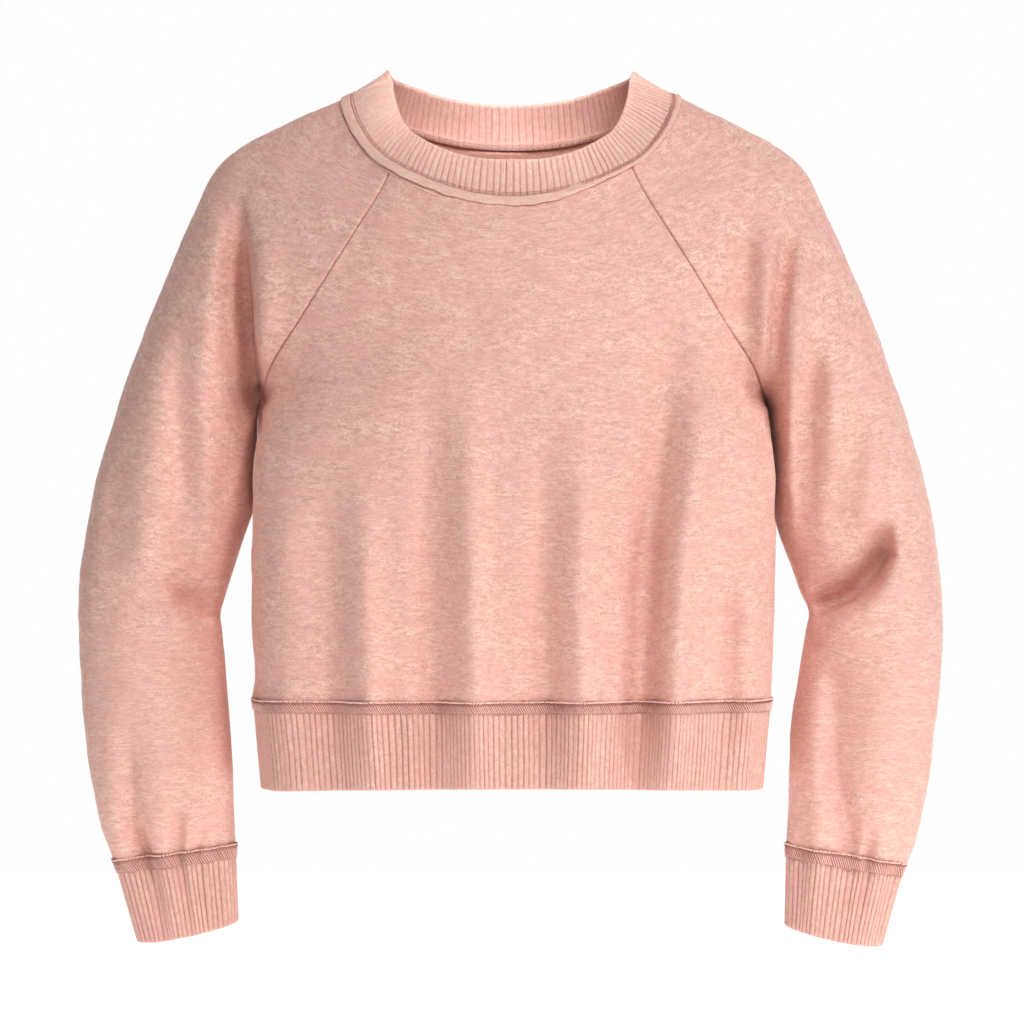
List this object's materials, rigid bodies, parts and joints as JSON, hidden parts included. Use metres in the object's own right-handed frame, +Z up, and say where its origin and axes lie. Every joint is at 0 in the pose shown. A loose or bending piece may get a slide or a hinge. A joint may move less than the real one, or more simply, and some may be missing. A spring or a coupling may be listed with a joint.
{
  "type": "crewneck sweater",
  "caption": "Cropped raglan-sleeve crewneck sweater in worn, hollow form, with ribbed neckband, hem band and cuffs and seam allowances turned outside.",
  "frame": {"origin": "midway between the side neck points, at the height of the neck seam there, where the wearer's shoulders hold the sweater", "axes": "+Z up, -Y towards the front of the sweater, +X to the right as seen from the front"},
  "size_m": [0.6504, 0.2278, 0.6579],
  "materials": {
    "jersey": "brushed heather pink jersey, matt and slightly fuzzy",
    "rib": "heather pink rib knit, matt",
    "seam_allowance": "raw jersey edge overlocked in pink thread, matt"
  },
  "bodies": {
    "root": {"front_panel": "jersey", "back_panel": "jersey", "left_sleeve": "jersey", "right_sleeve": "jersey", "neckband": "rib", "hem_band": "rib", "left_cuff": "rib", "right_cuff": "rib", "neck_seam_allowance": "seam_allowance", "hem_seam_allowance": "seam_allowance", "left_cuff_seam_allowance": "seam_allowance", "right_cuff_seam_allowance": "seam_allowance"}
  },
  "joints": []
}
